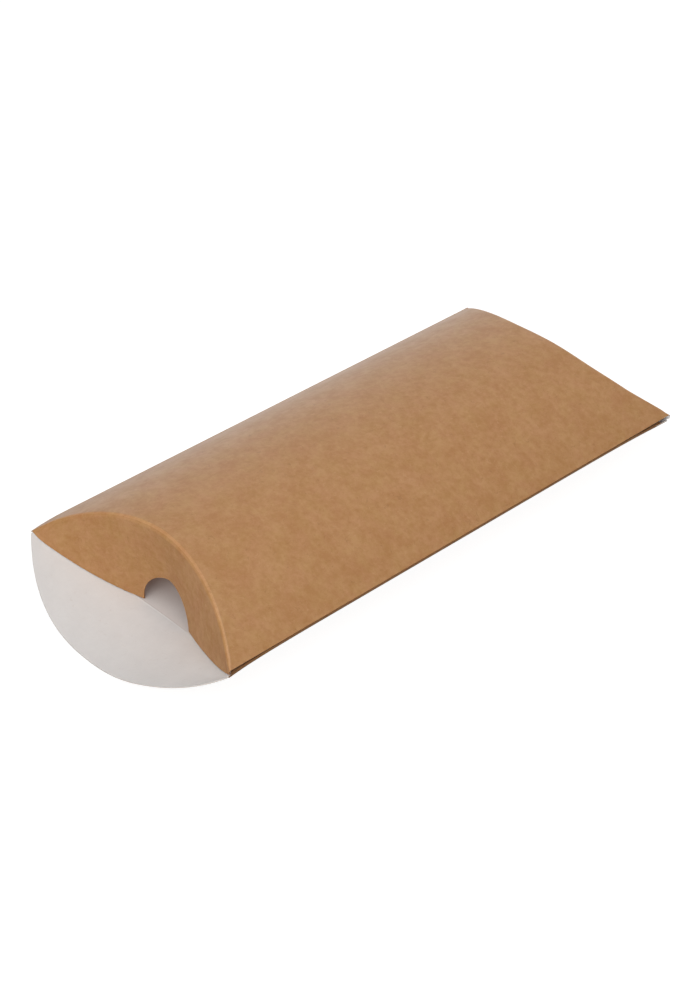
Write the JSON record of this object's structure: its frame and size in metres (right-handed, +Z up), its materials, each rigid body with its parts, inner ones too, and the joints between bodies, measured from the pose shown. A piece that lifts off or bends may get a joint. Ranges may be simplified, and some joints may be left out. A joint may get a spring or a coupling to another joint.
{
  "type": "pillow box",
  "caption": "Pillow-shaped gift box of folded kraft board: two bowed panels closed at each end by curved flaps, one folded in and one lying open.",
  "frame": {"origin": "on the surface that the box rests on, under the middle of its length and width", "axes": "+X across the box towards the glued seam, +Y along it towards the rear end, +Z up; the front end is at -Y"},
  "size_m": [0.1104, 0.262, 0.038],
  "materials": {
    "kraft_board": "smooth natural brown kraft liner, matt with a faint sheen",
    "white_lining": "uncoated white lining, matt",
    "adhesive": "dried translucent dispersion glue"
  },
  "bodies": {
    "tube": {"upper_panel": "kraft_board", "upper_panel_lining": "white_lining", "lower_panel": "kraft_board", "lower_panel_lining": "white_lining", "glue_strip": "adhesive", "glue_flap": "kraft_board", "glue_flap_lining": "white_lining"},
    "front_upper": {"front_upper_flap": "kraft_board", "front_upper_flap_lining": "white_lining"},
    "front_lower": {"front_lower_flap": "kraft_board", "front_lower_flap_lining": "white_lining"},
    "rear_upper": {"rear_upper_flap": "kraft_board", "rear_upper_flap_lining": "white_lining"},
    "rear_lower": {"rear_lower_flap": "kraft_board", "rear_lower_flap_lining": "white_lining"}
  },
  "joints": [
    {"name": "front_upper_crease", "type": "hinge", "parent": "tube", "child": "front_upper", "pos_m": [0, -0.0955, 0.038], "axis": [-1, 0, 0], "range_deg": [0, 90]},
    {"name": "front_lower_crease", "type": "hinge", "parent": "tube", "child": "front_lower", "pos_m": [0, -0.0955, 0], "axis": [1, 0, 0], "range_deg": [-85, 0], "deforming": ["front_lower_flap", "front_lower_flap_lining"]},
    {"name": "rear_upper_crease", "type": "hinge", "parent": "tube", "child": "rear_upper", "pos_m": [0, 0.0955, 0.038], "axis": [1, 0, 0], "range_deg": [0, 90]},
    {"name": "rear_lower_crease", "type": "hinge", "parent": "tube", "child": "rear_lower", "pos_m": [0, 0.0955, 0], "axis": [-1, 0, 0], "range_deg": [-85, 0], "deforming": ["rear_lower_flap", "rear_lower_flap_lining"]}
  ]
}
